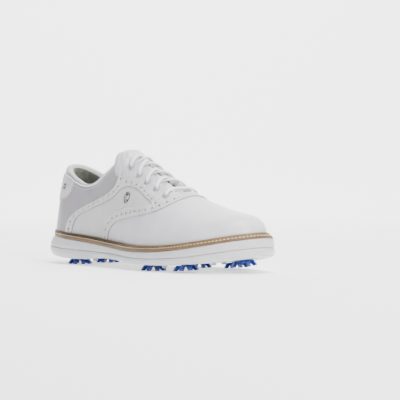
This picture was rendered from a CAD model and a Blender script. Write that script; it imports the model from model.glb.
"""The looks of a right-foot golf shoe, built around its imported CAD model.

Sizes are in millimetres until a mesh is made, in the frame of the CAD: +X to the toe, +Y to the
inner (medial) side, +Z up. The upper's pieces lie on one family of skins, skin(a, turn, depth):
a runs from 0 at the heel to pi at the toe, turn from 0 at the lateral edge over the ridge to pi at
the medial edge, and depth is measured inwards from the outermost skin.
"""
import math

import bmesh
import bpy
import numpy as np
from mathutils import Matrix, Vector
from mathutils.geometry import delaunay_2d_cdt
from mathutils.kdtree import KDTree


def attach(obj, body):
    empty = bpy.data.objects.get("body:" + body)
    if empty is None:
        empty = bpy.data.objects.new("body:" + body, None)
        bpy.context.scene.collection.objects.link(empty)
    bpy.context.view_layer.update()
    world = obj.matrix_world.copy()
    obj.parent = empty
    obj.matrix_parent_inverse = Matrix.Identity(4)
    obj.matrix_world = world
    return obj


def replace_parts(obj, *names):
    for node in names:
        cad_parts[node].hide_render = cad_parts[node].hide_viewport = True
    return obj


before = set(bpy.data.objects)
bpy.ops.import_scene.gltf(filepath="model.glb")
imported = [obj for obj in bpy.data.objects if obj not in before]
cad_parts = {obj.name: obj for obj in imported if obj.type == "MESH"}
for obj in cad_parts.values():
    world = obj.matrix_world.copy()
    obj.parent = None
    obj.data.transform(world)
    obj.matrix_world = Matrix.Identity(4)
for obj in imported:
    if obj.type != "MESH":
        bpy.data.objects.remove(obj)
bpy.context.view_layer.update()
MM = 0.001

# ---------------------------------------------------------------- camera
CAMERA_AZIMUTH, CAMERA_ELEVATION = math.radians(47), math.radians(1)
CAMERA_DISTANCE, CAMERA_RIGHT, CAMERA_UP, CAMERA_LENS = 1.5, 0.04694, 0.06837, 132.3


def make_camera():
    back = Vector((
        math.sin(CAMERA_AZIMUTH) * math.cos(CAMERA_ELEVATION),
        -math.cos(CAMERA_AZIMUTH) * math.cos(CAMERA_ELEVATION),
        math.sin(CAMERA_ELEVATION),
    ))
    right = Vector((math.cos(CAMERA_AZIMUTH), math.sin(CAMERA_AZIMUTH), 0))
    data = bpy.data.cameras.new("camera")
    data.lens = CAMERA_LENS
    camera = bpy.data.objects.new("camera", data)
    bpy.context.scene.collection.objects.link(camera)
    camera.location = back * CAMERA_DISTANCE + right * CAMERA_RIGHT + back.cross(right) * CAMERA_UP
    camera.rotation_euler = back.to_track_quat("Z", "Y").to_euler()
    bpy.context.scene.camera = camera


make_camera()

# ---------------------------------------------------------------- the shoe's shape, as in the CAD
UPPER_BACK, UPPER_FRONT = -141.5, 147.0
HEEL_ROUND, TOE_ROUND, TOE_DROP, TOE_APEX_Y = 40.0, 56.0, 30.0, 7.0
HEEL_LEAN, LEAN_PIVOT_Z, HEEL_BULGE = 0.15, 45.0, 2.0
SOLE_OUTLINE = [
    (-150.5, 1), (-141, -25), (-110, -38), (-60, -39.5), (-15, -43.5), (30, -53.6), (70, -54),
    (110, -42.5), (138, -21), (150.5, 6), (141, 31.5), (112, 46.5), (72, 53.6), (30, 46),
    (-15, 33), (-60, 34), (-110, 38), (-141, 26),
]
SOLE_TOP = [(-150, 30), (-110, 27.5), (-60, 24), (-20, 20.5), (20, 18.5), (60, 19.5), (100, 24), (151, 34)]
SOLE_PARTING = [
    (-150, 19.5), (-110, 17), (-60, 15.5), (-20, 14.4), (20, 12.6), (60, 12.8), (100, 16), (151, 25),
]
SOLE_BOTTOM = [
    (-150, 9), (-125, 6.4), (-97, 6), (-70, 6.4), (-45, 8.6), (-20, 8.2), (10, 6.2), (40, 6),
    (70, 6.6), (100, 9),
    (124, 12), (151, 17),
]
LATERAL = [(-150, -31), (-120, -32), (-60, -31), (-15, -35), (30, -46), (70, -46.5), (100, -42), (151, -28)]
MEDIAL = [(-150, 31), (-120, 32), (-60, 30), (-15, 30.5), (30, 39.5), (72, 45), (105, 43), (151, 33)]
RIDGE = [
    (-145, 128), (-100, 132), (-60, 130.5), (-20, 115.8), (10, 98.4), (40, 81.7), (70, 69.2), (100, 60.5),
    (151, 54),
]
SIDE_ROUND = [(-145, 0.95), (-60, 1.0), (-10, 1.15), (40, 1.08), (80, 0.92), (110, 0.85), (151, 0.8)]
TOP_ROUND = [(-145, 1.0), (-60, 0.95), (-10, 0.90), (40, 0.95), (80, 0.95), (110, 0.9), (151, 0.85)]
RIDGE_LEAN = [(-145, 0), (-90, 0.5), (-60, 1.5), (-15, 3.5), (30, 4.5), (80, 7), (120, 7), (151, 4)]

# seams, seen from the side as (x, z)
TOPLINE = [
    (-160, 98), (-135, 96), (-111, 91), (-97, 85), (-81, 81.5), (-66, 84), (-53, 93.5), (-42, 103.5),
    (-35, 108.5),
]
COLLAR_TOP = [(-160, 109), (-135, 106), (-117, 99), (-100, 91), (-81, 84.5), (-66, 87), (-54, 96), (-45, 103)]
VAMP_SEAM = [
    (60.5, 76), (57.5, 72), (53, 66.5), (45, 60.5), (30, 55.5), (9, 52.5), (-14, 49), (-26, 44.5),
    (-33, 38),
    (-36.5, 29), (-37, 12),
]
BACK_BAND_REAR = [
    (-108, 12), (-107.5, 34), (-104, 45), (-96, 53), (-82, 60), (-60, 68), (-41, 76), (-32, 84.5),
    (-31.5, 95),
    (-38, 106.5),
]
FACING_TOP = [(-38, 106.5), (-27, 110.8), (-20, 110.3), (-13, 108)]
WINDOW = [
    (-97, 12), (-97, 34), (-94, 43), (-88, 50.5), (-70, 58), (-49, 65), (-31, 72.5), (-22, 80.5), (-11, 83),
    (3, 80), (18, 73), (32, 65), (13, 62.5), (-7, 61), (-25, 57), (-38, 49.5), (-43.5, 40), (-45, 30),
    (-45.5, 12),
]
HEEL_TAB_EDGE = [(-99, 90), (-100, 85), (-102, 77), (-107, 72), (-118, 68.5), (-160, 67)]
PERFORATION_ROWS = [
    [(-102, 27), (-101.5, 38), (-97, 48), (-84, 56), (-64, 63.5), (-44, 71.5), (-29.5, 79), (-26, 88),
     (-29, 98),
     (-31, 105)],
    [(-17, 87.3), (-7, 86), (4, 82.5), (15, 77.5), (26, 71.6), (36, 66.3)],
    [(-41, 30), (-38.5, 42), (-30, 49), (-14, 54), (6, 57), (24, 59), (36, 61.5), (45, 66), (52, 72)],
]

EYELET_X = [40.0, 26.0, 11.0, -3.0, -18.0]
EYELET_SPREAD = [20.8, 20.5, 19.5, 17.8, 16.0]
THROAT_Y, THROAT_FRONT, THROAT_BACK = 1.2, 50.0, -60.0
THROAT_HALF_BACK, THROAT_HALF_FRONT = 7.5, 13.5
LACE_OVER, LACE_UNDER = -2.5, 6.2
CROSS_HIGH, CROSS_LOW = 0.2, 3.4
FIRST_CROSS_HIGH, FIRST_CROSS_LOW = 2.7, 5.7
LAST_CROSS_X = -21.0
TUCKED = [(-24.0, 36), (-28.5, 50)]
CLEATS = [(-97, -19), (-97, 19), (40, -35.5), (36, 30), (85, -34), (84, 35), (123, 7)]
CUP_R = 8.2

CHART_U, CHART_V = 110.0, 52.0          # millimetres per radian of a and of turn, roughly


def along(points, x):
    """The height of a smooth curve through (x, value) points."""
    xs, values = np.array(points, float).T
    rank = np.arange(len(xs))
    low, high = np.maximum(rank - 1, 0), np.minimum(rank + 1, len(xs) - 1)
    slope = (values[high] - values[low]) / (xs[high] - xs[low])
    x = np.clip(np.asarray(x, float), xs[0], xs[-1])
    i = np.clip(np.searchsorted(xs, x, side="right") - 1, 0, len(xs) - 2)
    h = xs[i + 1] - xs[i]
    t = (x - xs[i]) / h
    return (
        values[i] * (2 * t**3 - 3 * t**2 + 1) + values[i + 1] * (3 * t**2 - 2 * t**3)
        + h * slope[i] * (t**3 - 2 * t**2 + t) + h * slope[i + 1] * (t**3 - t**2)
    )


def rounding(distance, length, power):
    """1 away from an end of the shoe, falling to 0 at it like a superellipse."""
    share = np.clip(1 - distance / length, 0, 1)
    return (1 - share**power) ** (1 / power)


def lean_weight(x):
    w = np.clip((-60 - x) / 80, 0, 1)
    return w * w * (3 - 2 * w)


def section(x, depth):
    from_front = UPPER_FRONT - depth - x
    k = rounding(x - UPPER_BACK - depth, HEEL_ROUND - depth, 2.3)
    k = k * rounding(from_front, TOE_ROUND - depth, 2.3)
    apex = np.where(x > 0, TOE_APEX_Y, 0.0)
    lateral = (along(LATERAL, x) + depth) * k + apex * (1 - k)
    medial = (along(MEDIAL, x) - depth) * k + apex * (1 - k)
    base = along(SOLE_TOP, x) + 2
    height = (along(RIDGE, x) - depth - base) * rounding(from_front, TOE_DROP, 2.8)
    return lateral, medial, base, height, k


def station(a, depth):
    """The section's x for the lengthwise parameter a."""
    middle = (UPPER_BACK + UPPER_FRONT) / 2
    return middle - ((UPPER_FRONT - UPPER_BACK) / 2 - depth) * np.cos(a)


def parameter(x, depth=0.0):
    """The lengthwise parameter of a section at x."""
    middle = (UPPER_BACK + UPPER_FRONT) / 2
    return np.arccos(np.clip((middle - x) / ((UPPER_FRONT - UPPER_BACK) / 2 - depth), -1, 1))


def skin(a, turn, depth):
    """Points of the skin that lies depth inside the outer one, as an array of (x, y, z)."""
    a, turn, depth = np.broadcast_arrays(np.asarray(a, float), np.asarray(turn, float), depth)
    x = station(a, depth)
    lateral, medial, base, height, k = section(x, depth)
    c, s = np.cos(turn), np.clip(np.sin(turn), 0, 1)
    side = np.sign(c) * np.abs(c) ** along(SIDE_ROUND, x)
    y = (lateral + medial) / 2 - (medial - lateral) / 2 * side + along(RIDGE_LEAN, x) * s**1.5 * k
    z = base + height * s ** along(TOP_ROUND, x)
    w = lean_weight(x)
    return np.stack([x + w * (HEEL_LEAN * (z - LEAN_PIVOT_Z) - HEEL_BULGE), y, z], axis=-1)


def section_of(x, z):
    """The x of the section that a point seen from the side lies in."""
    found = np.asarray(x, float)
    for _ in range(12):
        found = x - lean_weight(found) * (HEEL_LEAN * (z - LEAN_PIVOT_Z) - HEEL_BULGE)
    return np.maximum(found, UPPER_BACK)


def turn_at(x, z, depth=0.0):
    """The lateral turn at which a section at x reaches the height z."""
    _, _, base, height, _ = section(np.asarray(x, float), depth)
    share = np.clip((z - base) / np.maximum(height, 1e-6), 0, 1)
    return np.arcsin(share ** (1 / along(TOP_ROUND, x)))


# ---------------------------------------------------------------- charts
def over(u, v, depth):
    """The chart for pieces that cross the ridge: u along the shoe, v from lateral to medial."""
    return skin(np.clip(u / CHART_U, 0.004, math.pi - 0.004), v / CHART_V, depth)


def around(u, v, depth):
    """The chart for pieces that go round the heel: u is negative on the lateral side, v is the height."""
    a = np.maximum(np.abs(u) / CHART_U, 0.004)
    lateral = turn_at(station(a, depth), v, depth)
    return skin(a, np.where(u > 0, math.pi - lateral, lateral), depth)


def flat(height):
    """A chart of the ground plan: height(x, y) gives the level, and depth goes up into the shoe."""
    def place(u, v, depth):
        return np.stack([u, v, height(u, v) + depth], axis=-1)
    return place


def smooth(points, step=2.0, closed=False):
    """A Catmull-Rom line through the points, sampled about every step."""
    p = np.array(points, float)
    count = len(p)
    out = []
    for i in range(count if closed else count - 1):
        if closed:
            p0, p1, p2, p3 = p[i - 1], p[i], p[(i + 1) % count], p[(i + 2) % count]
        else:
            p1, p2 = p[i], p[i + 1]
            p0 = p[i - 1] if i > 0 else 2 * p1 - p2
            p3 = p[i + 2] if i + 2 < count else 2 * p2 - p1
        gaps = [max(np.linalg.norm(b - a) ** 0.5, 1e-3) for a, b in ((p0, p1), (p1, p2), (p2, p3))]
        knots = np.cumsum([0] + gaps)
        steps = max(2, int(np.linalg.norm(p2 - p1) / step) + 1)
        t = np.linspace(knots[1], knots[2], steps, endpoint=False)[:, None]
        a1 = (knots[1] - t) / (knots[1] - knots[0]) * p0 + (t - knots[0]) / (knots[1] - knots[0]) * p1
        a2 = (knots[2] - t) / (knots[2] - knots[1]) * p1 + (t - knots[1]) / (knots[2] - knots[1]) * p2
        a3 = (knots[3] - t) / (knots[3] - knots[2]) * p2 + (t - knots[2]) / (knots[3] - knots[2]) * p3
        b1 = (knots[2] - t) / (knots[2] - knots[0]) * a1 + (t - knots[0]) / (knots[2] - knots[0]) * a2
        b2 = (knots[3] - t) / (knots[3] - knots[1]) * a2 + (t - knots[1]) / (knots[3] - knots[1]) * a3
        out.append((knots[2] - t) / (knots[2] - knots[1]) * b1 + (t - knots[1]) / (knots[2] - knots[1]) * b2)
    if not closed:
        out.append(p[-1:])
    return np.concatenate(out)


def cut_at_base(line):
    """Drops what lies under the upper's base."""
    x = section_of(line[:, 0], line[:, 1])
    keep = line[:, 1] > along(SOLE_TOP, x) + 2.05
    kept = line[keep]
    ends = []
    for end in (0, -1):
        if not keep[end]:
            foot = kept[end].copy()
            foot[1] = along(SOLE_TOP, section_of(foot[0], foot[1])) + 2.0
            ends.append((end, foot))
    for end, foot in ends:
        kept = np.vstack([foot, kept]) if end == 0 else np.vstack([kept, foot])
    return kept


def side_over(points, step=2.0):
    """A side-view line in the over chart, lateral side. It stops just under the ridge."""
    line = cut_at_base(smooth(points, step))
    x = section_of(line[:, 0], line[:, 1])
    _, _, base, height, _ = section(x, 0.0)
    line, x = line[line[:, 1] < base + 0.985 * height], x[line[:, 1] < base + 0.985 * height]
    return np.column_stack([parameter(x) * CHART_U, turn_at(x, line[:, 1]) * CHART_V])


def side_around(points, step=2.0):
    """A side-view line in the around chart, lateral side. It stops at the middle of the heel."""
    line = cut_at_base(smooth(points, step))
    x = section_of(line[:, 0], line[:, 1])
    behind = x <= UPPER_BACK + 1e-3
    chart = np.column_stack([-parameter(x) * CHART_U, line[:, 1]])
    if behind.any():
        middle = chart[behind][0 if behind[-1] else -1] * (0, 1)
        chart = np.vstack([chart[~behind], middle] if behind[-1] else [middle, chart[~behind]])
    return chart


def mirrored(chart, place):
    """The same line on the medial side, run backwards."""
    if place is over:
        return (chart * (1, -1) + (0, math.pi * CHART_V))[::-1]
    return (chart * (-1, 1))[::-1]


def both_sides(points, place, step=2.0):
    """A side-view line that goes up one side and down the other."""
    chart = side_over(points, step) if place is over else side_around(points, step)
    if place is around and abs(chart[-1][0]) < 1e-6:
        chart = chart[:-1]
    return np.vstack([chart, mirrored(chart, place)])


# ---------------------------------------------------------------- panels
def inside(points, loop):
    """Which points lie inside a closed loop."""
    result = np.zeros(len(points), bool)
    x, y = points[:, 0], points[:, 1]
    for (x0, y0), (x1, y1) in zip(loop, np.roll(loop, -1, axis=0)):
        if y0 == y1:
            continue
        crosses = (y0 > y) != (y1 > y)
        result ^= crosses & (x < (x1 - x0) * (y - y0) / (y1 - y0) + x0)
    return result


def slopes(place, points, depth):
    """How the chart's two directions run in space."""
    u, v = points.T
    along_u = (place(u + 0.2, v, depth) - place(u - 0.2, v, depth)) / 0.4
    along_v = (place(u, v + 0.2, depth) - place(u, v - 0.2, depth)) / 0.4
    return along_u, along_v


def outward(place, points, depth):
    along_u, along_v = slopes(place, points, depth)
    normal = np.cross(along_u, along_v)
    normal /= np.linalg.norm(normal, axis=1)[:, None] + 1e-12
    u, v = points.T
    rise = place(u, v, depth - 0.5) - place(u, v, depth + 0.5)
    return normal * np.where((normal * rise).sum(1) < 0, -1, 1)[:, None]


def shifted(place, points, depth, step):
    """Chart points moved by steps given in space, in the surface."""
    along_u, along_v = slopes(place, points, depth)
    uu, uv, vv = ((p * q).sum(1) for p, q in ((along_u, along_u), (along_u, along_v), (along_v, along_v)))
    su, sv = (along_u * step).sum(1), (along_v * step).sum(1)
    size = np.maximum(uu * vv - uv * uv, 1e-9)
    return points + np.column_stack([(vv * su - uv * sv) / size, (uu * sv - uv * su) / size])


def line_in_space(place, points, depth, closed):
    """Tangents and sideways directions of a chart line, as unit vectors in space."""
    p = place(*points.T, depth)
    if closed:
        tangent = np.roll(p, -1, axis=0) - np.roll(p, 1, axis=0)
    else:
        tangent = np.gradient(p, axis=0)
    tangent /= np.linalg.norm(tangent, axis=1)[:, None] + 1e-12
    normal = outward(place, points, depth)
    return p, tangent, normal, np.cross(normal, tangent)


def resampled(place, points, depth, step, closed=False):
    """A chart line with points a real step apart."""
    if closed:
        points = np.vstack([points, points[:1]])
    p = place(*points.T, depth)
    run = np.concatenate([[0], np.cumsum(np.linalg.norm(np.diff(p, axis=0), axis=1))])
    count = max(2, round(run[-1] / step))
    at = np.linspace(0, run[-1], count + 1)
    line = np.column_stack([np.interp(at, run, points[:, 0]), np.interp(at, run, points[:, 1])])
    return line[:-1] if closed else line


def disc(place, centre, depth, radius, sides=10):
    """A round hole's loop around a chart point."""
    centre = np.array([centre], float)
    along_u, _ = slopes(place, centre, depth)
    normal = outward(place, centre, depth)
    first = along_u / np.linalg.norm(along_u)
    second = np.cross(normal, first)
    angle = np.linspace(0, 2 * math.pi, sides, endpoint=False)[:, None]
    step = radius * (np.cos(angle) * first + np.sin(angle) * second)
    return shifted(place, np.repeat(centre, sides, axis=0), depth, step)


def new_mesh(name, points, faces, material, face_materials=None, sharp=40):
    """A smooth-shaded object from points in millimetres."""
    data = bpy.data.meshes.new(name)
    data.from_pydata([tuple(p) for p in np.asarray(points) * MM], [], faces)
    data.validate()
    data.shade_smooth()
    data.set_sharp_from_angle(angle=math.radians(sharp))
    for each in material if isinstance(material, list) else [material]:
        data.materials.append(each)
    if face_materials is not None:
        data.polygons.foreach_set("material_index", face_materials)
    made = bpy.data.objects.new(name, data)
    bpy.context.scene.collection.objects.link(made)
    return made


def edge_profile(distance):
    """A skived leather edge: the surface falls away in the last millimetre."""
    return 0.5 * np.clip(1 - distance / 0.9, 0, 1) ** 2


def square_edge(distance):
    return 0 * distance


def panel(name, place, outline, material, holes=(), depth=0.0, thick=1.2, spacing=2.6, edge_step=1.6,
          rows=(0.35, 0.9), profile=edge_profile, hole_rows=(0.35,), edge=None):
    """A closed piece of even thickness with a shaped edge, cut along a chart outline."""
    loops = [resampled(place, outline, depth, edge_step, closed=True)] + [np.asarray(h) for h in holes]
    tree_points = np.concatenate([
        place(*(resampled(place, loop, depth, 0.5, closed=True)).T, depth) for loop in loops])
    tree = KDTree(len(tree_points))
    for i, p in enumerate(tree_points):
        tree.insert(p, i)
    tree.balance()

    def in_region(points):
        good = inside(points, loops[0])
        for hole in loops[1:]:
            low, high = hole.min(0), hole.max(0)
            near = good & (points > low).all(1) & (points < high).all(1)
            if near.any():
                good[near] &= ~inside(points[near], hole)
        return good

    def reach(points):
        return np.array([tree.find(p)[2] for p in place(*points.T, depth)])

    picked = []
    for number, loop in enumerate(loops):
        for row in rows if number == 0 else hole_rows:
            _, _, _, sideways = line_in_space(place, loop, depth, closed=True)
            for sign in (-1, 1):
                moved = shifted(place, loop, depth, sign * row * sideways)
                moved = moved[in_region(moved)]
                if len(moved):
                    picked.append(moved[reach(moved) > 0.8 * row])
    low, high = loops[0].min(0), loops[0].max(0)
    us, vs = np.arange(low[0], high[0], spacing), np.arange(low[1], high[1], spacing)
    grid = np.array([(u + (j % 2) * spacing / 2, v) for j, v in enumerate(vs) for u in us])
    grid = grid[in_region(grid)]
    picked.append(grid[reach(grid) > max(rows) + 0.4 * spacing])
    free = np.concatenate(picked)
    corners = np.concatenate(loops)
    edges, start = [], 0
    for loop in loops:
        count = len(loop)
        edges += [(start + i, start + (i + 1) % count) for i in range(count)]
        start += count
    flat_points = [Vector(p) for p in np.vstack([corners, free])]
    verts, _, faces, *_ = delaunay_2d_cdt(flat_points, edges, [], 0, 1e-5)
    verts = np.array(verts)
    centres = np.array([verts[list(f)].mean(0) for f in faces])
    good = in_region(centres)
    faces = [f for f, ok in zip(faces, good) if ok]
    used = sorted({i for f in faces for i in f})
    renumber = {old: new for new, old in enumerate(used)}
    verts = verts[used]
    faces = [[renumber[i] for i in f] for f in faces]
    top = place(*verts.T, depth + profile(reach(verts)))
    bottom = place(*verts.T, depth + thick)
    first = np.array(faces)[:, :3]
    normal = np.cross(top[first[:, 1]] - top[first[:, 0]], top[first[:, 2]] - top[first[:, 0]])
    if (normal * (top[first[:, 0]] - bottom[first[:, 0]])).sum() < 0:
        faces = [f[::-1] for f in faces]
    count = len(verts)
    sides = {(f[i], f[(i + 1) % len(f)]) for f in faces for i in range(len(f))}
    rims = [(b, a, a + count, b + count) for a, b in sides if (b, a) not in sides]
    lower = [[i + count for i in reversed(f)] for f in faces]
    kinds = [0] * (2 * len(faces)) + [0 if edge is None else 1] * len(rims)
    finishes = [material] if edge is None else [material, edge]
    return new_mesh(name, np.vstack([top, bottom]), faces + lower + rims, finishes, kinds)


STITCH = [(-1.0, 0.35), (-0.75, 0.85), (-0.2, 1.0), (0.2, 1.0), (0.75, 0.85), (1.0, 0.35)]


def stitches(name, rows, material, length=2.1, pitch=2.7, radius=0.33):
    """Rows of thread stitches. Each row is (place, chart line, depth, sideways shift)."""
    points, faces = [], []
    ring = [(math.cos(t), math.sin(t)) for t in np.linspace(0, 2 * math.pi, 6, endpoint=False)]
    for place, line, depth, shift in rows:
        _, _, _, sideways = line_in_space(place, line, depth, closed=False)
        line = shifted(place, line, depth, shift * sideways)
        line = resampled(place, line, depth, pitch)
        p, tangent, normal, sideways = line_in_space(place, line, depth, closed=False)
        for centre, t, n, s in zip(p, tangent, normal, sideways):
            start = len(points)
            for along_share, size in STITCH:
                axis = centre + t * along_share * length / 2 + n * radius * (0.3 - 0.5 * abs(along_share))
                points += [axis + radius * size * (c * s + d * n) for c, d in ring]
            for j in range(len(STITCH) - 1):
                for i in range(6):
                    a, b = start + 6 * j + i, start + 6 * j + (i + 1) % 6
                    faces.append((a, b, b + 6, a + 6))
            faces.append([start + i for i in reversed(range(6))])
            faces.append([start + 6 * (len(STITCH) - 1) + i for i in range(6)])
    return new_mesh(name, np.array(points), faces, material, sharp=80)


def swept(
    name, rings, material, closed_path=True, closed_section=True, face_materials=None, sharp=50, caps=False,
):
    """A surface through equal cross-sections, given as an array (stations, points, 3)."""
    rings = np.asarray(rings)
    stations, count, _ = rings.shape
    faces, kinds = [], []
    for j in range(stations if closed_path else stations - 1):
        for i in range(count if closed_section else count - 1):
            a, b = j * count + i, j * count + (i + 1) % count
            c, d = ((j + 1) % stations) * count + (i + 1) % count, ((j + 1) % stations) * count + i
            faces.append((a, b, c, d))
            kinds.append(face_materials[i] if face_materials else 0)
    if caps:
        faces.append(list(range(count)))
        faces.append([(stations - 1) * count + i for i in reversed(range(count))])
        kinds += [kinds[0], kinds[0]]
    made = new_mesh(name, rings.reshape(-1, 3), faces, material, kinds, sharp)
    point_outwards(made)
    return made


def point_outwards(made):
    """Turns a closed mesh's faces so that they look outwards."""
    work = bmesh.new()
    work.from_mesh(made.data)
    bmesh.ops.recalc_face_normals(work, faces=work.faces)
    work.to_mesh(made.data)
    work.free()


# ---------------------------------------------------------------- materials
def nodes_of(name, color, rough, **inputs):
    material = bpy.data.materials.new(name)
    material.use_nodes = True
    tree = material.node_tree
    shader = tree.nodes["Principled BSDF"]
    shader.inputs["Base Color"].default_value = (*color, 1)
    shader.inputs["Roughness"].default_value = rough
    for key, value in inputs.items():
        shader.inputs[key.replace("_", " ")].default_value = value
    return material, tree, shader


def noise(tree, kind, scale, detail=3.0, vector=None, **sockets):
    node = tree.nodes.new(kind)
    if vector is None:
        vector = tree.nodes.new("ShaderNodeTexCoord").outputs["Object"]
    tree.links.new(vector, node.inputs["Vector"])
    node.inputs["Scale"].default_value = scale
    if "Detail" in node.inputs:
        node.inputs["Detail"].default_value = detail
    for key, value in sockets.items():
        node.inputs[key].default_value = value
    return node


def tinted(tree, shader, color, factor, spread, socket="Base Color", low=0.3, high=0.7):
    """Lets a pattern vary a colour: spread is the colour at its dark end."""
    ramp = tree.nodes.new("ShaderNodeValToRGB")
    ramp.color_ramp.elements[0].position, ramp.color_ramp.elements[1].position = low, high
    ramp.color_ramp.elements[0].color = (*spread, 1)
    ramp.color_ramp.elements[1].color = (*color, 1)
    tree.links.new(factor, ramp.inputs["Fac"])
    tree.links.new(ramp.outputs["Color"], shader.inputs[socket])


def roughened(tree, shader, factor, low, high):
    span = tree.nodes.new("ShaderNodeMapRange")
    span.inputs["To Min"].default_value, span.inputs["To Max"].default_value = low, high
    tree.links.new(factor, span.inputs["Value"])
    tree.links.new(span.outputs["Result"], shader.inputs["Roughness"])


def bumped(tree, shader, *layers):
    """Stacks bump layers, each (height, strength, distance in millimetres)."""
    before = None
    for height, strength, distance in layers:
        node = tree.nodes.new("ShaderNodeBump")
        node.inputs["Strength"].default_value = strength
        node.inputs["Distance"].default_value = distance * MM
        tree.links.new(height, node.inputs["Height"])
        if before is not None:
            tree.links.new(before.outputs["Normal"], node.inputs["Normal"])
        before = node
    tree.links.new(before.outputs["Normal"], shader.inputs["Normal"])


def leather(name, color, dark, rough, pebble, relief, coat=0.0):
    """Leather: pebbles of the given size in millimetres, fine pores, soft creases and uneven gloss."""
    material, tree, shader = nodes_of(name, color, rough, Coat_Weight=coat, Coat_Roughness=0.35)
    cells = noise(tree, "ShaderNodeTexVoronoi", 1000 / pebble)
    cells.feature = "SMOOTH_F1"
    pores = noise(tree, "ShaderNodeTexNoise", 1800, 2)
    creases = noise(tree, "ShaderNodeTexNoise", 70, 4)
    tinted(tree, shader, color, creases.outputs["Fac"], dark)
    roughened(tree, shader, creases.outputs["Fac"], rough - 0.08, rough + 0.1)
    bumped(tree, shader, (creases.outputs["Fac"], 0.25, 0.5), (cells.outputs["Distance"], relief, -0.5),
           (pores.outputs["Fac"], 0.25, 0.06))
    return material


def woven(name, color, dark, size, relief=0.6, rough=0.85, sheen=0.3):
    """Cloth: two crossing waves make the weave, and noise makes its threads uneven."""
    material, tree, shader = nodes_of(name, color, rough, Sheen_Weight=sheen, Sheen_Roughness=0.5)
    waves = []
    for direction in ("X", "Z"):
        wave = noise(tree, "ShaderNodeTexWave", 314 / size)
        wave.bands_direction = direction
        wave.inputs["Distortion"].default_value = 1.2
        waves.append(wave)
    mix = tree.nodes.new("ShaderNodeMath")
    mix.operation = "MULTIPLY"
    tree.links.new(waves[0].outputs["Fac"], mix.inputs[0])
    tree.links.new(waves[1].outputs["Fac"], mix.inputs[1])
    mottle = noise(tree, "ShaderNodeTexNoise", 250, 3)
    tinted(tree, shader, color, mottle.outputs["Fac"], dark)
    bumped(tree, shader, (mix.outputs["Value"], relief, 0.3), (mottle.outputs["Fac"], 0.3, 0.3))
    return material


def moulded(name, color, dark, rough, grain=900, relief=0.15, mottle=45, coat=0.0, metallic=0.0):
    """Moulded rubber or plastic: fine grain, and slow changes of tone and gloss."""
    material, tree, shader = nodes_of(name, color, rough, Coat_Weight=coat, Metallic=metallic)
    fine = noise(tree, "ShaderNodeTexNoise", grain, 2)
    slow = noise(tree, "ShaderNodeTexNoise", mottle, 4)
    tinted(tree, shader, color, slow.outputs["Fac"], dark)
    roughened(tree, shader, slow.outputs["Fac"], rough - 0.06, rough + 0.1)
    bumped(tree, shader, (fine.outputs["Fac"], relief, 0.1), (slow.outputs["Fac"], 0.1, 0.3))
    return material


def granular(name, color, dark, size):
    """Cork or pressed fibre: cells of different tones."""
    material, tree, shader = nodes_of(name, color, 0.85)
    cells = noise(tree, "ShaderNodeTexVoronoi", 1000 / size)
    tinted(tree, shader, color, cells.outputs["Distance"], dark, low=0.1, high=0.6)
    bumped(tree, shader, (cells.outputs["Distance"], 0.5, 0.4))
    return material


def strand(name, color, dark, size):
    """A braided or twisted strand."""
    material, tree, shader = nodes_of(name, color, 0.75, Sheen_Weight=0.25)
    braid = noise(tree, "ShaderNodeTexVoronoi", 1000 / size)
    fuzz = noise(tree, "ShaderNodeTexNoise", 900, 3)
    tinted(tree, shader, color, braid.outputs["Distance"], dark, low=0.0, high=0.9)
    bumped(tree, shader, (braid.outputs["Distance"], 0.5, -0.3), (fuzz.outputs["Fac"], 0.3, 0.1))
    return material


def darkened_aft(material, color, aft, forward):
    """Dyes a leather darker towards the heel, between two places in millimetres along the shoe."""
    tree = material.node_tree
    shader = tree.nodes["Principled BSDF"]
    split = tree.nodes.new("ShaderNodeSeparateXYZ")
    tree.links.new(tree.nodes.new("ShaderNodeTexCoord").outputs["Object"], split.inputs["Vector"])
    span = tree.nodes.new("ShaderNodeMapRange")
    span.inputs["From Min"].default_value, span.inputs["From Max"].default_value = aft * MM, forward * MM
    tree.links.new(split.outputs["X"], span.inputs["Value"])
    mix = tree.nodes.new("ShaderNodeMix")
    mix.data_type = "RGBA"
    mix.inputs["A"].default_value = (*color, 1)
    tree.links.new(shader.inputs["Base Color"].links[0].from_socket, mix.inputs["B"])
    tree.links.new(span.outputs["Result"], mix.inputs["Factor"])
    tree.links.new(mix.outputs["Result"], shader.inputs["Base Color"])


smooth_leather = leather(
    "smooth_leather", (0.61, 0.595, 0.635), (0.55, 0.535, 0.575),
    0.34, 1.0, 0.05, coat=0.12,
)
quarter_leather = leather(
    "quarter_leather", (0.31, 0.293, 0.325), (0.27, 0.254, 0.283),
    0.38, 1.0, 0.05, coat=0.1,
)
saddle_leather = leather("saddle_leather", (0.55, 0.55, 0.55), (0.49, 0.49, 0.495), 0.44, 1.4, 0.25)
grained_leather = leather("grained_leather", (0.59, 0.59, 0.585), (0.46, 0.46, 0.46), 0.48, 2.0, 1.0)
edge_paint = leather("edge_paint", (0.17, 0.17, 0.20), (0.12, 0.12, 0.145), 0.6, 0.8, 0.3)
collar_cloth = leather("collar_cloth", (0.46, 0.465, 0.45), (0.39, 0.395, 0.38), 0.55, 1.6, 0.45)
lining_cloth = woven("lining_cloth", (0.10, 0.105, 0.085), (0.06, 0.064, 0.05), 0.8)
sockliner_cloth = woven("sockliner_cloth", (0.24, 0.245, 0.235), (0.16, 0.165, 0.155), 1.4)
white_rubber = moulded("white_rubber", (0.54, 0.54, 0.562), (0.48, 0.48, 0.505), 0.4)
grey_rubber = moulded("grey_rubber", (0.42, 0.43, 0.45), (0.33, 0.34, 0.36), 0.6, relief=0.3)
tread_rubber = moulded("tread_rubber", (0.72, 0.73, 0.75), (0.62, 0.63, 0.65), 0.55, relief=0.3)
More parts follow.
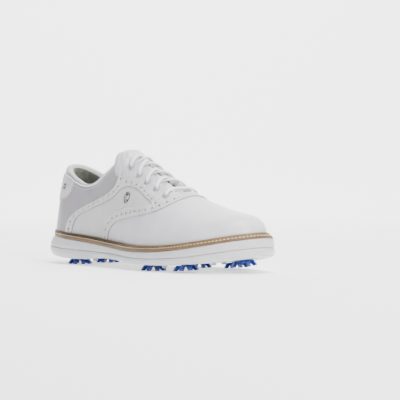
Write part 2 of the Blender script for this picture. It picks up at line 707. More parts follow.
cleat_plastic = moulded(
    "cleat_plastic", (0.004, 0.035, 0.30), (0.002, 0.010, 0.08),
    0.3, coat=0.2, mottle=150,
)
socket_plastic = moulded("socket_plastic", (0.5, 0.51, 0.53), (0.4, 0.41, 0.43), 0.5)
enamel = moulded("enamel", (0.36, 0.38, 0.44), (0.28, 0.30, 0.36), 0.28, coat=0.4, mottle=200)
clear_plastic = moulded("clear_plastic", (0.8, 0.8, 0.82), (0.7, 0.7, 0.72), 0.25)
stiffener = granular("stiffener", (0.66, 0.62, 0.54), (0.52, 0.48, 0.4), 1.2)
cork = granular("cork", (0.35, 0.19, 0.08), (0.16, 0.08, 0.03), 2.2)
board = granular("board", (0.48, 0.36, 0.22), (0.36, 0.26, 0.15), 0.8)
steel = moulded("steel", (0.5, 0.5, 0.52), (0.4, 0.4, 0.42), 0.3, metallic=1.0)
welt_tan = leather("welt_tan", (0.19, 0.12, 0.05), (0.125, 0.075, 0.032), 0.5, 1.1, 0.3)
darkened_aft(welt_tan, (0.06, 0.046, 0.025), -45.0, 45.0)
welt_brown = leather("welt_brown", (0.16, 0.085, 0.035), (0.09, 0.05, 0.022), 0.5, 1.1, 0.3)
welt_dark = leather("welt_dark", (0.05, 0.032, 0.02), (0.03, 0.02, 0.012), 0.6, 1.1, 0.3)
cream_thread = strand("cream_thread", (0.55, 0.43, 0.27), (0.40, 0.29, 0.165), 0.5)
white_thread = strand("white_thread", (0.62, 0.62, 0.64), (0.5, 0.5, 0.52), 0.5)
lace_cotton = strand("lace_cotton", (0.80, 0.80, 0.83), (0.58, 0.58, 0.63), 0.9)
mark_ink = moulded("mark_ink", (0.035, 0.04, 0.05), (0.025, 0.028, 0.035), 0.35)


# ---------------------------------------------------------------- sole
RING_COUNT = 300
HEEL_FLARE, HEEL_TAPER = 3.4, 3.2        # how far the heel's top and bottom stand inside its widest line


def sole_ring():
    """The sole's outline, evenly sampled, with its inward directions."""
    line = smooth(SOLE_OUTLINE, 1.0, closed=True)
    line = resampled(flat(lambda u, v: 0 * u), line, 0.0, 1.0, closed=True)
    at = np.linspace(0, len(line), RING_COUNT, endpoint=False)
    round_again = np.vstack([line[:, :2], line[:1, :2]])
    line = np.column_stack([np.interp(at, np.arange(len(round_again)), round_again[:, i]) for i in (0, 1)])
    tangent = np.roll(line, -2, axis=0) - np.roll(line, 2, axis=0)
    tangent /= np.linalg.norm(tangent, axis=1)[:, None]
    return line, np.column_stack([-tangent[:, 1], tangent[:, 0]])


ring, ring_in = sole_ring()
ring_top, ring_parting, ring_bottom = (along(p, ring[:, 0]) for p in (SOLE_TOP, SOLE_PARTING, SOLE_BOTTOM))


def ring_sections(rows):
    """Cross-sections of the sole. Each row is (inset, heights)."""
    return np.stack([
        np.column_stack([ring + ring_in * np.asarray(inset).reshape(-1, 1), level]) for inset, level in rows
    ], axis=1)


def heel_share(x):
    """0 forward of the heel, rising to 1 at its back."""
    share = np.clip((-75 - x) / 60, 0, 1)
    return share * share * (3 - 2 * share)


def make_midsole():
    tall = ring_top - ring_parting
    heel = heel_share(ring[:, 0])
    rows = [
        (11.0, ring_top - 0.1), (2.2 + HEEL_FLARE * heel, ring_top - 0.1),
        (1.3 + HEEL_FLARE * heel, ring_top - 0.35),
        (0.85 + 0.92 * HEEL_FLARE * heel, ring_top - 1.0),
        (0.75 + 0.6 * HEEL_FLARE * heel, ring_top - 0.3 * tall),
        (0.6 + 0.2 * HEEL_FLARE * heel, ring_top - 0.6 * tall), (0.6, ring_parting + 1.1),
        (0.85, ring_parting + 0.4), (1.5, ring_parting + 0.1), (11.0, ring_parting + 0.1),
    ]
    made = swept("midsole_wall", ring_sections(rows), white_rubber)
    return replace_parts(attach(made, "shoe"), "midsole")


def make_outsole():
    tall = ring_parting - ring_bottom
    heel = HEEL_TAPER * heel_share(ring[:, 0])
    rows = [
        (7.5, ring_parting - 0.1), (1.5, ring_parting - 0.1), (0.6, ring_parting - 0.35),
        (0.1, ring_parting - 1.0),
        (0.15 * heel, ring_parting - 0.35 * tall), (0.25 + 0.45 * heel, ring_bottom + 0.35 * tall),
        (0.8 + 0.75 * heel, ring_bottom + 1.7), (1.7 + 0.9 * heel, ring_bottom + 1.0),
        (3.0 + heel, ring_bottom + 0.7), (4.6 + heel, ring_bottom + 0.7), (5.0 + heel, ring_bottom + 1.1),
        (7.5, ring_bottom + 1.6),
    ]
    wall = swept("outsole_wall", ring_sections(rows), white_rubber)
    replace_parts(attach(wall, "shoe"), "outsole")
    place = flat(lambda u, v: along(SOLE_BOTTOM, u) + 0.35 * tread(u, v))
    holes = []
    for x, y in CLEATS:
        angle = np.linspace(0, 2 * math.pi, 28, endpoint=False)
        holes.append(np.column_stack([x + (CUP_R + 0.1) * np.cos(angle), y + (CUP_R + 0.1) * np.sin(angle)]))
    inner = (ring + ring_in * (5.3 + heel).reshape(-1, 1))[::2]
    plate = panel("outsole_tread", place, inner, tread_rubber, holes, 0.0, 2.6, spacing=2.2, edge_step=2.5,
                  hole_rows=(0.5,))
    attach(plate, "shoe")


def tread(x, y):
    """Depth of the sole's fine ribs: bands across the forefoot and the heel, none under the arch."""
    worn = np.clip((np.abs(x + 32) - 18) / 8, 0, 1)
    wave = 0.5 + 0.5 * np.cos(2 * math.pi * (x + 0.004 * y * y) / 9.0)
    return worn * wave**2


def welt_edge():
    """The upper's foot under each point of the sole's outline: nearest point and distance."""
    a = np.linspace(0.02, math.pi - 0.02, 400)
    turn = turn_at(station(a, 0.0), along(SOLE_TOP, station(a, 0.0)) + 4.0)
    foot = np.vstack([skin(a, turn, 0.0), skin(a[::-1], math.pi - turn[::-1], 0.0)])[:, :2]
    reach = np.linalg.norm(ring[:, None, :] - foot[None, :, :], axis=2)
    near = foot[reach.argmin(1)]
    gap = reach.min(1)
    for _ in range(6):
        gap = (np.roll(gap, 1) + gap + np.roll(gap, -1)) / 3
        near = (np.roll(near, 1, axis=0) + near + np.roll(near, -1, axis=0)) / 3
    return near, gap


def make_welt():
    """A storm welt: a raised lip against the upper, a groove, a stitched shelf and a rounded edge."""
    near, gap = welt_edge()
    out = (ring - near) / np.linalg.norm(ring - near, axis=1)[:, None]
    edge = gap - 1.3 - HEEL_FLARE * heel_share(ring[:, 0])
    top = along(SOLE_TOP, near[:, 0])
    lip = np.minimum(1.9, 0.42 * edge)
    shelf = edge - lip
    rows = [
        (-1.0, 0.1), (-1.0, 5.4), (-0.4, 6.0), (0.45 * lip, 6.3), (0.8 * lip, 6.0), (lip, 5.3),
        (lip + 0.08, 4.0),
        (lip + 0.1 * shelf, 3.05), (lip + 0.25 * shelf, 2.9), (lip + 0.4 * shelf, 3.2),
        (lip + 0.82 * shelf, 3.2),
        (edge - 0.25, 2.95), (edge, 2.4), (edge + 0.05, 1.3), (edge - 0.2, 0.35), (edge - 0.7, 0.05),
    ]
    rings = np.stack([
        np.column_stack([near + out * np.asarray(reach + 0 * gap).reshape(-1, 1), top + height])
        for reach, height in rows], axis=1)
    kinds = [1, 1, 0, 0, 0, 0, 2, 2, 2, 0, 1, 1, 1, 1, 1, 1]
    made = swept("storm_welt", rings, [welt_tan, welt_brown, welt_dark], face_materials=kinds, sharp=35)
    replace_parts(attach(made, "shoe"), "welt")
    seam = near + out * (lip + 0.62 * shelf).reshape(-1, 1)
    seam = np.vstack([seam, seam[:1]])
    place = flat(lambda u, v: along(SOLE_TOP, u) + 3.25)
    thread = stitches("welt_stitching", [(up_facing(place), seam, 0.0, 0.0)], cream_thread, 2.9, 3.7, 0.55)
    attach(thread, "shoe")


def up_facing(place):
    """The same chart with its outside on top."""
    return lambda u, v, depth: place(u, v, -np.asarray(depth))


make_midsole()
make_outsole()
make_welt()


# ---------------------------------------------------------------- upper
def throat_half(x):
    share = np.minimum((x - THROAT_BACK) / (THROAT_FRONT - THROAT_HALF_FRONT - THROAT_BACK), 1)
    return THROAT_HALF_BACK + (THROAT_HALF_FRONT - THROAT_HALF_BACK) * share


def turn_of_y(x, y, depth=0.0):
    """The turn at which the section at x is above y."""
    a = parameter(x, depth)
    ridge = skin(a, math.pi / 2, depth)[..., 1]
    lateral = y < ridge
    edge, top = np.where(lateral, 0.0, math.pi), np.full(np.shape(x), math.pi / 2)
    for _ in range(40):
        middle = (edge + top) / 2
        beyond = (skin(a, middle, depth)[..., 1] < y) == lateral
        edge, top = np.where(beyond, middle, edge), np.where(beyond, top, middle)
    return edge


def plan_over(points):
    """A line seen from above in the over chart."""
    x, y = np.array(points, float).T
    return np.column_stack([parameter(x) * CHART_U, turn_of_y(x, y) * CHART_V])


def throat_line():
    """The edge of the throat, from the back of the lateral facing round the front to the medial."""
    sides = np.arange(-34.0, THROAT_FRONT - THROAT_HALF_FRONT, 2.0)
    lateral = np.column_stack([sides, THROAT_Y - throat_half(sides)])
    angle = np.linspace(-math.pi / 2, math.pi / 2, 22)
    middle = THROAT_FRONT - THROAT_HALF_FRONT
    front = np.column_stack([np.cos(angle), np.sin(angle)]) * THROAT_HALF_FRONT + (middle, THROAT_Y)
    medial = (lateral * (1, -1) + (0, 2 * THROAT_Y))[::-1]
    return np.vstack([lateral, front, medial])


def eyelet_centres():
    centres = [
        (x, THROAT_Y + side * spread) for side in (-1, 1) for x, spread in zip(EYELET_X, EYELET_SPREAD)]
    return np.array(centres)


def perforations(place, rows, pitch=8.3):
    """Holes of a brogued band: a row of large ones, with a fine one between each two."""
    holes = []
    for row in rows:
        line = resampled(place, side_over(row), 0.0, pitch / 2)
        for i, centre in enumerate(line):
            radius, corners = (1.25, 10) if i % 2 == 0 else (0.4, 6)
            holes.append(disc(place, centre, 0.0, radius, corners))
    return holes


def medial_copy(loops):
    return [mirrored(np.asarray(loop), over) for loop in loops]


def make_upper():
    throat = plan_over(throat_line())
    rear = side_over(BACK_BAND_REAR)
    top = side_over(FACING_TOP)[1:]
    throat = throat[throat[:, 0] > top[-1][0] + 0.5]
    front = both_sides(VAMP_SEAM[::-1], over)
    outline = np.vstack([rear, top, throat, mirrored(top, over), mirrored(rear, over), front[::-1]])
    window = side_over(WINDOW)
    windows = [window, mirrored(window, over)]
    holes = perforations(over, PERFORATION_ROWS)
    eyes = [disc(over, c, 0.0, 2.7, 14) for c in plan_over(eyelet_centres())]
    window_loops = [resampled(over, w, 0.0, 1.6, closed=True) for w in windows]
    cuts = window_loops + holes + medial_copy(holes) + eyes
    overlay = panel(
        "saddle_overlay_leather", over, outline, grained_leather, cuts, 0.0, 1.15,
        rows=(0.35, 0.9, 1.7), edge=edge_paint)
    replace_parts(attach(overlay, "shoe"), "saddle_overlay")

    base_outline = np.vstack([
        side_over([(x + 5, z + 2) for x, z in BACK_BAND_REAR]), top, throat, mirrored(top, over),
        mirrored(side_over([(x + 5, z + 2) for x, z in BACK_BAND_REAR]), over),
        both_sides([(x - 5, z + 3) for x, z in VAMP_SEAM[::-1]], over)[::-1]])
    base = panel("saddle_panels", over, base_outline, saddle_leather, eyes, 1.2, 1.3)
    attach(base, "shoe")
    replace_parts(base, "saddle_panel_lateral", "saddle_panel_medial")

    toe = (math.pi - 0.01) * CHART_U
    seam = both_sides([(x - 4.4, z + 1.5) for x, z in VAMP_SEAM[::-1]], over)
    along_foot = np.linspace(seam[-1][0], toe, 90)[1:]
    outline = np.vstack([
        seam, np.column_stack([along_foot, 0 * along_foot + math.pi * CHART_V]),
        np.column_stack([0 * np.arange(1, 40) + toe, np.linspace(math.pi * CHART_V, 0, 41)[1:-1]]),
        np.column_stack([along_foot[::-1], 0 * along_foot])])
    vamp = panel(
        "vamp_leather", over, outline, smooth_leather, (), 1.2, 1.3, rows=(0.9,), profile=square_edge)
    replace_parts(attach(vamp, "shoe"), "vamp")

    topline = both_sides(TOPLINE[::-1], around)
    seam = side_around([(x + 4.4, z - 0.5) for x, z in BACK_BAND_REAR])
    foot_u = np.linspace(seam[0][0], 0, 60)[1:-1]
    foot = np.column_stack([foot_u, along(SOLE_TOP, station(-foot_u / CHART_U, 0.0)) + 2.0])
    outline = np.vstack([topline, mirrored(seam, around), mirrored(foot, around), foot[::-1], seam])
    quarter = panel("quarter_leather", around, outline, quarter_leather, (), 1.2, 1.3, edge=edge_paint)
    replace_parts(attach(quarter, "shoe"), "quarter_lateral", "quarter_medial")

    tab_edge = side_around(HEEL_TAB_EDGE)
    tab_top = side_around([(x, z) for x, z in TOPLINE if x < -90][::-1] )
    tab_top = tab_top[tab_top[:, 0] > tab_edge[0][0]]
    half = np.vstack([tab_edge[::-1], tab_top[:-1]])
    outline = np.vstack([half, mirrored(half, around)])
    tab = panel("heel_tab_leather", around, outline, grained_leather, (), 0.0, 1.15, edge=edge_paint)
    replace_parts(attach(tab, "shoe"), "heel_tab")

    rows = []
    for line, shift in ((rear, -1.9), (rear, -3.2), (window, 1.7), (front[: len(front) // 2], 1.9),
                        (front[: len(front) // 2], 3.2), (throat[: len(throat) // 2], -2.2), (top, -2.0)):
        rows.append((over, line, 0.0, shift))
        rows.append((over, mirrored(line, over), 0.0, shift))
    rows.append((around, np.vstack([tab_edge, mirrored(tab_edge[:-1], around)]), 0.0, 1.8))
    rows.append((around, topline[:: 2], 1.2, 2.6))
    for shift in (-1.9, 1.9):
        rows.append((around, np.column_stack([np.full(20, shift), np.linspace(34, 66, 20)]), 1.2, 0.0))
    thread = stitches("seam_stitching", rows, white_thread)
    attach(thread, "shoe")


THROAT_MIDDLE = np.array([5.0, THROAT_Y, 90.0])


def make_throat_binding():
    """A turned leather edge round the throat, which covers the cut edges of every layer."""
    line = resampled(over, plan_over(throat_line()), 0.0, 1.6)
    p, _, normal, across = line_in_space(over, line, 0.0, closed=False)
    across = np.where((across * (p - THROAT_MIDDLE)).sum(1)[:, None] > 0, -across, across)
    rows = [
        (0.3, -0.9), (-0.1, -0.3), (0.0, 0.25), (0.7, 0.6), (2.6, 0.7), (4.6, 0.6), (5.1, 0.1),
        (5.0, -1.4), (4.5, -1.4), (4.4, -0.2), (1.4, -0.2),
    ]
    rings = np.stack([p - normal * depth + across * shift for depth, shift in rows], axis=1)
    made = swept("throat_binding", rings, grained_leather, closed_path=False, caps=True, sharp=60)
    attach(made, "shoe")


# the generic golf-flag pictogram, in millimetres across and up
FLAG_POLE = [(-1.7, -4.2), (-1.0, -4.2), (-1.0, 4.4), (-1.7, 4.4)]
FLAG_CLOTH = [(-1.0, 4.4), (2.9, 2.9), (-1.0, 1.3)]
BALL_AT, BALL_R = (1.2, -2.9), 1.15


def ellipse(across, up, sides, middle=(0.0, 0.0)):
    t = np.linspace(0, 2 * math.pi, sides, endpoint=False)
    return np.column_stack([middle[0] + across * np.cos(t), middle[1] + up * np.sin(t)])


def badge(name, place, centre, depth, size):
    """A small raised pictogram of a golf flag and a ball in an oval ring."""
    centre = np.array([centre], float)
    normal = outward(place, centre, depth)
    level = np.cross((0, 0, 1), normal)
    level /= np.linalg.norm(level)
    upright = np.cross(normal, level)

    def drawn(shape):
        shape = np.asarray(shape, float) * size
        step = shape[:, :1] * level + shape[:, 1:] * upright
        return shifted(place, np.repeat(centre, len(shape), axis=0), depth, step)

    ring_outer, ring_inner = ellipse(4.6, 6.0, 32), ellipse(3.6, 5.0, 28)
    parts = {
        "ring": (ring_outer, [drawn(ring_inner)]), "pole": (FLAG_POLE, []), "cloth": (FLAG_CLOTH, []),
        "ball": (ellipse(BALL_R, BALL_R, 16, BALL_AT), []),
    }
    for part, (shape, holes) in parts.items():
        made = panel(
            f"{name}_{part}", place, drawn(shape), mark_ink, holes, depth - 0.25, 0.35,
            spacing=1.2 * size, edge_step=0.7, rows=(0.15,), profile=square_edge, hole_rows=())
        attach(made, "shoe")


def make_badges():
    for side in (-1, 1):
        centre = np.array([[parameter(-10.0) * CHART_U, turn_at(-10.0, 72.0) * CHART_V]])
        if side > 0:
            centre = mirrored(centre, over)
        badge(f"saddle_mark_{'lateral' if side < 0 else 'medial'}", over, centre[0], 1.2, 1.0)
        centre = np.array([-parameter(-117.0) * CHART_U, 82.0]) * (1 if side < 0 else -1, 1)
        badge(f"heel_mark_{'lateral' if side < 0 else 'medial'}", around, centre, 0.0, 0.6)


make_upper()
make_throat_binding()
make_badges()


# ---------------------------------------------------------------- collar, tongue, sockliner
def make_collar():
    """The padded collar, one closed roll round the opening, and the piping at its foot."""
    line = both_sides(TOPLINE[::-1], around, 2.5)
    line = resampled(around, line, 2.0, 3.0)
    rise = collar_rise(line)
    p, _, normal, up = line_in_space(around, line, 2.0, closed=False)
    up = np.where(up[:, 2:] < 0, -up, up)
    section_rows = [
        (0.6, -4.0, 0), (0.3, -1.0, 0), (-0.2, 0.2, 0.0), (-0.7, 0.6, 0.25), (-0.5, 0.8, 0.55),
        (0.6, 0.7, 0.85),
        (2.6, 0.4, 1.0), (5.0, 0.0, 1.0), (7.2, -1.6, 0.9), (8.6, -5.0, 0.6), (9.4, -10.0, 0.2),
        (9.2, -16.0, 0),
        (8.0, -21.0, 0), (5.8, -24.5, 0), (3.6, -26.0, 0), (2.0, -25.0, 0), (1.3, -14.0, 0),
    ]
    rings = np.stack([
        p - normal * d + up * (h + share * rise).reshape(-1, 1) for d, h, share in section_rows], axis=1)
    kinds = [2] * 4 + [0] * 4 + [1] * 9
    made = swept(
        "padded_collar", rings, [collar_cloth, lining_cloth, quarter_leather],
        closed_path=False, face_materials=kinds, caps=True)
    smoothed(made, 1)
    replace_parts(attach(made, "shoe"), "collar_foam", "collar_lining")
    cord = []
    for angle in np.linspace(0, 2 * math.pi, 10, endpoint=False):
        cord.append(p - normal * (-0.75 + 0.95 * math.cos(angle)) + up * (0.5 + 1.0 * math.sin(angle)))
    piping = swept(
        "topline_piping_cord", np.stack(cord, axis=1), smooth_leather, closed_path=False, caps=True, sharp=80)
    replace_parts(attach(piping, "shoe"), "topline_piping")


def collar_rise(line):
    """How far the collar's crown stands above the topline, along its length."""
    p = around(*line.T, 0.0)
    tops, foot = smooth(COLLAR_TOP, 2.0), smooth(TOPLINE, 2.0)
    top = np.interp(p[:, 0], tops[:, 0], tops[:, 1])
    low = np.interp(p[:, 0], foot[:, 0], foot[:, 1])
    ends = np.clip(np.minimum(np.arange(len(line)), np.arange(len(line))[::-1]) / 6, 0, 1)
    return np.maximum(top - low, 1.0) * ends**0.5


def smoothed(made, levels):
    """Applies a subdivision surface."""
    modifier = made.modifiers.new("rounding", "SUBSURF")
    modifier.levels = modifier.render_levels = levels
    bpy.context.view_layer.update()
    evaluated = made.evaluated_get(bpy.context.evaluated_depsgraph_get())
    data = bpy.data.meshes.new_from_object(evaluated)
    made.modifiers.clear()
    made.data = data
    data.shade_smooth()


def blanket(name, xs, ys, top, bottom, material):
    """A closed pad over a grid of (x, y): top and bottom give the depth of its two skins."""
    x, y = np.meshgrid(xs, ys, indexing="ij")
    turn = turn_of_y(x, y)
    points = []
    for skin_depth in (top(x, y), bottom(x, y)):
        a = parameter(x)
        points.append(skin(a, turn, skin_depth).reshape(-1, 3))
    rows, columns = x.shape
    faces = []
    for i in range(rows - 1):
        for j in range(columns - 1):
            k = i * columns + j
            corners = (k, k + 1, k + columns + 1, k + columns)
            faces.append(corners)
            faces.append(tuple(m + rows * columns for m in corners[::-1]))
    border = [(0, j) for j in range(columns)] + [(i, columns - 1) for i in range(1, rows)]
    border += [(rows - 1, j) for j in range(columns - 2, -1, -1)]
    border += [(i, 0) for i in range(rows - 2, 0, -1)]
    ids = [i * columns + j for i, j in border]
    for a, b in zip(ids, ids[1:] + ids[:1]):
        faces.append((b, a, a + rows * columns, b + rows * columns))
    made = new_mesh(name, np.vstack(points), faces, material, sharp=60)
    point_outwards(made)
    return made


# the padded tip: its top line, how softly that limits it, its place, its reach and its two depths
TIP_TOP = [(-46, 112.5), (-43, 116.5), (-37, 119.6), (-31, 120.6), (-25.5, 119.9), (-20, 116.5)]
TIP_SOFTNESS = 1.0
TIP_LIFT = 0.016
TIP_MIDDLE_X, TIP_HALF_X, TIP_HALF_TURN = -34.0, 12.5, 0.92
TIP_CROWN, TIP_MID_DEPTH = -0.6, 5.2


def make_tongue():
    """The tongue under the laces, and its padded tip with stitched arcs."""
    xs = np.linspace(-24.0, 58.0, 60)
    ys = np.linspace(THROAT_Y - 21, THROAT_Y + 21, 36)
    body = blanket("tongue_body", xs, ys, tongue_top, lambda x, y: 13.2 + 0 * x, smooth_leather)
    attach(body, "shoe")
    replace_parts(body, "tongue_leather", "tongue_foam", "tongue_lining")
    share = np.linspace(-1, 1, 53)
    run = np.linspace(-1, 1, 49)
    s, r = np.meshgrid(share, run, indexing="ij")
    x = TIP_MIDDLE_X + TIP_HALF_X * r * np.sqrt(1 - 0.42 * s**2)
    turn = math.pi / 2 + TIP_HALF_TURN * s * np.sqrt(1 - 0.42 * r**2)
    rim = np.sqrt(np.clip(1 - np.maximum(np.abs(s), np.abs(r)) ** 3.0, 0, 1))
    inner = np.hypot(s * 0.95, (r - 0.75) * 0.62)
    groove = sum(np.exp(-((inner - radius) / 0.028) ** 2) for radius in (0.34, 0.56, 0.78))
    outer = TIP_MID_DEPTH - (TIP_MID_DEPTH - TIP_CROWN) * rim + 0.75 * groove * rim
    lower = TIP_MID_DEPTH + 4.2 * rim
    a = parameter(x)
    top, bottom = skin(a, turn, outer).reshape(-1, 3), skin(a, turn, lower).reshape(-1, 3)
    top[:, 2] += TIP_LIFT * rim.ravel() * (top[:, 1] - THROAT_Y) ** 2
    limit = along(TIP_TOP, top[:, 0]) - 0.004 * (top[:, 1] - THROAT_Y) ** 2 - 0.7 * (groove * rim).ravel()
    top[:, 2] = -TIP_SOFTNESS * np.log(np.exp(-top[:, 2] / TIP_SOFTNESS) + np.exp(-limit / TIP_SOFTNESS))
    bottom[:, 2] = np.minimum(bottom[:, 2], top[:, 2] - 0.3 * (rim.ravel() > 0))
    rows, columns = s.shape
    faces = []
    for i in range(rows - 1):
        for j in range(columns - 1):
            k = i * columns + j
            faces.append((k, k + 1, k + columns + 1, k + columns))
            faces.append(tuple(m + rows * columns for m in (k + columns, k + columns + 1, k + 1, k)))
    tip = new_mesh("tongue_pad", np.vstack([top, bottom]), faces, smooth_leather, sharp=80)
    welded(tip)
    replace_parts(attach(tip, "tongue_tip"), "tongue_tip")


def welded(made):
    work = bmesh.new()
    work.from_mesh(made.data)
    bmesh.ops.remove_doubles(work, verts=work.verts, dist=1e-6)
    bmesh.ops.recalc_face_normals(work, faces=work.faces)
    work.to_mesh(made.data)
    work.free()
    made.data.shade_smooth()


def tongue_top(x, y):
    """Soft creases across the tongue, deeper under each crossing of the lace."""
    crease = sum(np.exp(-((x - e - 6 - 0.012 * (y - THROAT_Y) ** 2) / 2.6) ** 2) for e in EYELET_X)
    return 8.7 + 0.6 * crease - 2.0 * np.exp(-((y - THROAT_Y) / 6.5) ** 2)


SOCKLINER_HALF = 34.0


def make_sockliner():
    """The cushioned insole, dished a little, with its rim turned up."""
    depth = 4.7
    a = np.linspace(0.02, math.pi - 0.02, 160)
    x = station(a, depth)
    level = along(SOLE_TOP, x) + 7.0
    turn = turn_at(x, level, depth)
    outline = np.vstack([skin(a, turn, depth), skin(a[::-1], math.pi - turn[::-1], depth)[1:-1]])[:, :2]

    def height(u, v):
        return along(SOLE_TOP, u) + 6.2 + 1.2 * np.clip(np.abs(v) / SOCKLINER_HALF, 0, 1) ** 3

    def soft_edge(distance):
        return 1.1 * np.clip(1 - distance / 2.0, 0, 1) ** 2

    made = panel(
        "cushion_sockliner", up_facing(flat(height)), outline, sockliner_cloth, (), 0.0, 3.6,
        spacing=4.0, edge_step=3.0, rows=(0.6, 1.4), profile=soft_edge)
    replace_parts(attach(made, "shoe"), "sockliner")


make_collar()
make_tongue()
make_sockliner()


# ---------------------------------------------------------------- eyelets and lace
def skin_point(x, y, depth):
    return skin(parameter(x, depth), turn_of_y(np.array(x, float), np.array(y, float), depth), depth)


def skin_normal(x, y):
    step = 0.5
    across = skin_point(x, y + step, 0.0) - skin_point(x, y - step, 0.0)
    forward = skin_point(x + step, y, 0.0) - skin_point(x - step, y, 0.0)
    normal = np.cross(forward, across)
    return normal / np.linalg.norm(normal)


EYELET_PROFILE = [
    (2.25, 0.2), (2.3, 0.75), (2.55, 1.1), (2.95, 1.15), (3.35, 0.95), (3.55, 0.6), (3.55, 0.3),
    (3.3, 0.15),
    (2.75, 0.1), (2.7, -4.2), (3.15, -4.35), (3.2, -4.8), (2.9, -5.0), (2.3, -4.85), (2.2, -4.3),
]


def make_eyelets():
    for side, name in ((-1, "lateral"), (1, "medial")):
        points, faces = [], []
        for x, spread in zip(EYELET_X, EYELET_SPREAD):
            y = THROAT_Y + side * spread
            origin, normal = skin_point(x, y, 0.0), skin_normal(x, y)
            first = np.cross(normal, (1, 0, 0))
            first /= np.linalg.norm(first)
            second = np.cross(normal, first)
            start, count, turns = len(points), len(EYELET_PROFILE), 28
            for j in range(turns):
                angle = 2 * math.pi * j / turns
                way = first * math.cos(angle) + second * math.sin(angle)
                points += [origin + way * r + normal * h for r, h in EYELET_PROFILE]
            for j in range(turns):
                for i in range(count):
                    a, b = start + j * count + i, start + j * count + (i + 1) % count
                    c = start + ((j + 1) % turns) * count + (i + 1) % count
                    faces.append((a, b, c, start + ((j + 1) % turns) * count + i))
        made = new_mesh(f"eyelet_rings_{name}", np.array(points), faces, enamel, sharp=60)
        point_outwards(made)
        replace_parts(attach(made, "shoe"), f"eyelets_{name}")


def eyelet_place(index, side, depth):
    x, y = EYELET_X[index], THROAT_Y + side * EYELET_SPREAD[index]
    return skin_point(x, y, 0.0) - skin_normal(x, y) * depth


def crossing(index, side, depth_out, depth_middle, x_end):
    x_start = EYELET_X[index]
    edge = throat_half(x_start)
    return [
        skin_point(x_start + 0.22 * (x_end - x_start), THROAT_Y + side * edge, depth_out),
        skin_point((x_start + x_end) / 2, THROAT_Y, depth_middle),
        skin_point(x_start + 0.8 * (x_end - x_start), THROAT_Y - side * (edge - 1.5), LACE_UNDER),
    ]


def half_lace(side):
    points = [eyelet_place(0, side, LACE_OVER), eyelet_place(0, side, LACE_UNDER)]
    points += crossing(0, side, LACE_UNDER, FIRST_CROSS_HIGH if side < 0 else FIRST_CROSS_LOW, EYELET_X[1])
    for i in range(1, len(EYELET_X)):
        side = -side
        points += [eyelet_place(i, side, LACE_UNDER), eyelet_place(i, side, LACE_OVER)]
        x_end = EYELET_X[i + 1] if i + 1 < len(EYELET_X) else LAST_CROSS_X
        points += crossing(i, side, LACE_OVER, CROSS_HIGH if side < 0 else CROSS_LOW, x_end)
    for x, degrees in TUCKED:
        turn = math.pi / 2 - side * math.radians(degrees)
        points.append(skin(parameter(x, LACE_UNDER), turn, LACE_UNDER))
    return points


LACE_HALF_WIDTH, LACE_HALF_THICK = 1.95, 1.1


def make_lace():
    """A woven oval lace along the route of the CAD's cord, lying flat to the shoe."""
    edge = throat_half(EYELET_X[0])
    bar = [skin_point(EYELET_X[0], THROAT_Y + s * edge, LACE_OVER) for s in (-1, 1)]
    route = np.array(half_lace(-1)[::-1] + bar + half_lace(1))
    curve = bpy.data.curves.new("route", "CURVE")
    curve.dimensions = "3D"
    spline = curve.splines.new("NURBS")
    spline.points.add(len(route) - 1)
    for point, place in zip(spline.points, route):
        point.co = (*place, 1)
    spline.order_u = 3
    spline.use_endpoint_u = True
    spline.resolution_u = 10
    holder = bpy.data.objects.new("route", curve)
    bpy.context.scene.collection.objects.link(holder)
    line = np.array([v.co for v in bpy.data.meshes.new_from_object(holder).vertices])
    bpy.data.objects.remove(holder)
    tangent = np.gradient(line, axis=0)
    tangent /= np.linalg.norm(tangent, axis=1)[:, None]
    x, y = np.clip(line[:, 0], -100, 100), line[:, 1]
    up = np.array([skin_normal(px, py) for px, py in zip(x, y)])
    side = np.cross(up, tangent)
    size = np.linalg.norm(side, axis=1)
    for i in range(1, len(line)):
        if size[i] < 0.5:
            side[i] = side[i - 1] - tangent[i] * side[i - 1].dot(tangent[i])
        if side[i].dot(side[i - 1]) < 0:
            side[i] = -side[i]
    side /= np.linalg.norm(side, axis=1)[:, None]
    for _ in range(8):
        side = side + (np.roll(side, 1, axis=0) + np.roll(side, -1, axis=0)) / 2
        side -= tangent * (side * tangent).sum(1)[:, None]
        side /= np.linalg.norm(side, axis=1)[:, None]
    up = np.cross(tangent, side)
    angles = np.linspace(0, 2 * math.pi, 14, endpoint=False)
    rings = np.stack([
        line + side * LACE_HALF_WIDTH * math.copysign(abs(math.cos(t)) ** 0.8, math.cos(t))
        + up * LACE_HALF_THICK * math.copysign(abs(math.sin(t)) ** 0.9, math.sin(t)) for t in angles], axis=1)
    made = swept("woven_lace", rings, lace_cotton, closed_path=False, caps=True, sharp=80)
    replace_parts(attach(made, "shoe"), "lace")


make_eyelets()
make_lace()

# ---------------------------------------------------------------- finishes of the CAD's own pieces
CAD_FINISH = {
    "traction_pads": grey_rubber, "cleat_receptacles": socket_plastic, "shank": steel, "cork_filler": cork,
    "insole_board": board, "facing_stay_lateral": stiffener, "facing_stay_medial": stiffener,
    "heel_counter": stiffener, "toe_puff": stiffener, "aglets": clear_plastic,
    "quarter_lining": lining_cloth, "vamp_lining": lining_cloth,
}
for name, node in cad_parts.items():
    finish = CAD_FINISH.get(name)
    if name.startswith("cleat_") and name != "cleat_receptacles":
        finish = cleat_plastic
    if finish is not None:
        node.data.materials.clear()
        node.data.materials.append(finish)


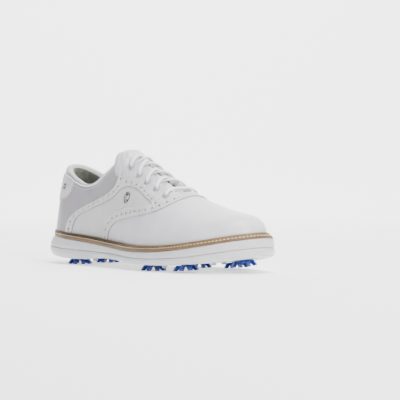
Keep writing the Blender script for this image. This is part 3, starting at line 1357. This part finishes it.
# ---------------------------------------------------------------- floor and light
BEHIND = Vector((-math.sin(CAMERA_AZIMUTH), math.cos(CAMERA_AZIMUTH), 0))


def make_stage():
    profile = [(-3.0, 0.0), (1.8, 0.0), (2.1, 0.0), (2.7, 0.12), (3.05, 0.5), (3.2, 1.2), (3.2, 3.5)]
    line = smooth(profile, 0.1)
    points, faces = [], []
    across = Vector((math.cos(CAMERA_AZIMUTH), math.sin(CAMERA_AZIMUTH), 0))
    for out, height in line:
        for reach in (-5, 5):
            points.append((BEHIND * out + across * reach + Vector((0, 0, height))) / MM)
    for i in range(len(line) - 1):
        faces.append((2 * i, 2 * i + 1, 2 * i + 3, 2 * i + 2))
    material, _, shader = nodes_of("backdrop_paper", (0.90, 0.90, 0.90), 0.9)
    shader.inputs["Emission Color"].default_value = (1, 1, 1, 1)
    shader.inputs["Emission Strength"].default_value = 0.7
    new_mesh("backdrop", np.array(points), faces, material)


def area_light(name, place, target, size, power, color=(1, 1, 1)):
    data = bpy.data.lights.new(name, "AREA")
    data.shape = "RECTANGLE"
    data.size, data.size_y = size
    data.energy = power
    data.color = color
    light = bpy.data.objects.new(name, data)
    bpy.context.scene.collection.objects.link(light)
    light.location = place
    light.rotation_euler = (Vector(place) - Vector(target)).to_track_quat("Z", "Y").to_euler()


make_stage()
area_light("overhead", (0.4, 0.1, 1.6), (0, 0, 0), (1.2, 1.2), 62)
area_light("front_left", (0.1, -1.7, 0.9), (0, 0, 0.05), (1.0, 0.8), 3)
area_light("toe_side", (1.7, -0.3, 0.9), (0, 0, 0.05), (0.9, 0.8), 40)
area_light(
    "wall_wash", BEHIND * 1.5 + Vector((0, 0, 2.4)), BEHIND * 3.1 + Vector((0, 0, 0.7)), (3.5, 0.6), 240)
world = bpy.data.worlds.new("studio")
world.use_nodes = True
world.node_tree.nodes["Background"].inputs["Color"].default_value = (0.97, 0.98, 1.0, 1)
world.node_tree.nodes["Background"].inputs["Strength"].default_value = 0.12
bpy.context.scene.world = world
